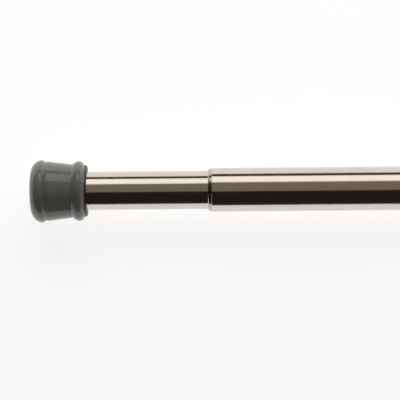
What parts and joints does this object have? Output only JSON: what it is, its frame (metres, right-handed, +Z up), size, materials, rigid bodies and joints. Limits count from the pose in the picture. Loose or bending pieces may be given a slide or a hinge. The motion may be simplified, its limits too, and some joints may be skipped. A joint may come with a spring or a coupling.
{
  "type": "pull up bar",
  "caption": "Telescopic doorway pull up bar: a plated thin tube turns in a swivel foot and winds a lead screw in the thick tube, pushing two grey rubber feet against the jambs.",
  "frame": {"origin": "centre of the swivel foot's outer face, on the bar's axis", "axes": "+X along the bar from the swivel foot to the fixed foot, +Z up, +Y across the doorway"},
  "size_m": [0.705, 0.0456, 0.0456],
  "materials": {
    "grey_rubber": "moulded, semi-gloss",
    "black_nylon": "moulded, satin",
    "satin_plate": "turned brass, satin nickel plate",
    "white_acetal": "turned, satin",
    "plated_tube": "polished nickel plate",
    "zinc_steel": "bright zinc plate",
    "turned_steel": "turned",
    "oiled_steel": "rolled thread, oiled",
    "black_oxide": "black oxide",
    "brass": "machined",
    "bronze": "sintered"
  },
  "bodies": {
    "swivel_foot": {"swivel_foot_boot": "grey_rubber", "swivel_foot_plate": "zinc_steel", "swivel_foot_core": "black_nylon", "pivot_bush": "bronze", "thrust_washer": "white_acetal"},
    "thin_tube": {"inner_tube": "plated_tube", "tube_end_plug": "turned_steel", "end_plug_pins": "turned_steel", "pivot_bolt": "zinc_steel", "pivot_washer": "zinc_steel", "guide_sleeve": "white_acetal", "drive_nut": "brass", "nut_rivets": "zinc_steel"},
    "thick_tube": {"outer_tube": "plated_tube", "mouth_bush": "satin_plate", "lead_screw": "oiled_steel", "tip_stop_washer": "zinc_steel", "tip_stop_screw": "black_oxide", "anchor_plug": "turned_steel", "anchor_pin": "turned_steel", "lock_washer": "zinc_steel", "lock_nut": "zinc_steel", "fixed_foot_core": "black_nylon", "fixed_foot_plate": "zinc_steel", "fixed_foot_boot": "grey_rubber"}
  },
  "joints": [
    {"name": "thin_tube_spin", "type": "hinge", "parent": "swivel_foot", "child": "thin_tube", "pos_m": [0.0228, 0, 0], "axis": [-1, 0, 0], "range_deg": [-3825, 13275]},
    {"name": "thick_tube_slide", "type": "slide", "parent": "swivel_foot", "child": "thick_tube", "axis": [1, 0, 0], "range_m": [-0.085, 0.295]}
  ],
  "couplings": [
    {"joint": "thick_tube_slide", "follows": "thin_tube_spin", "m_per_rad": 0.0012732}
  ]
}
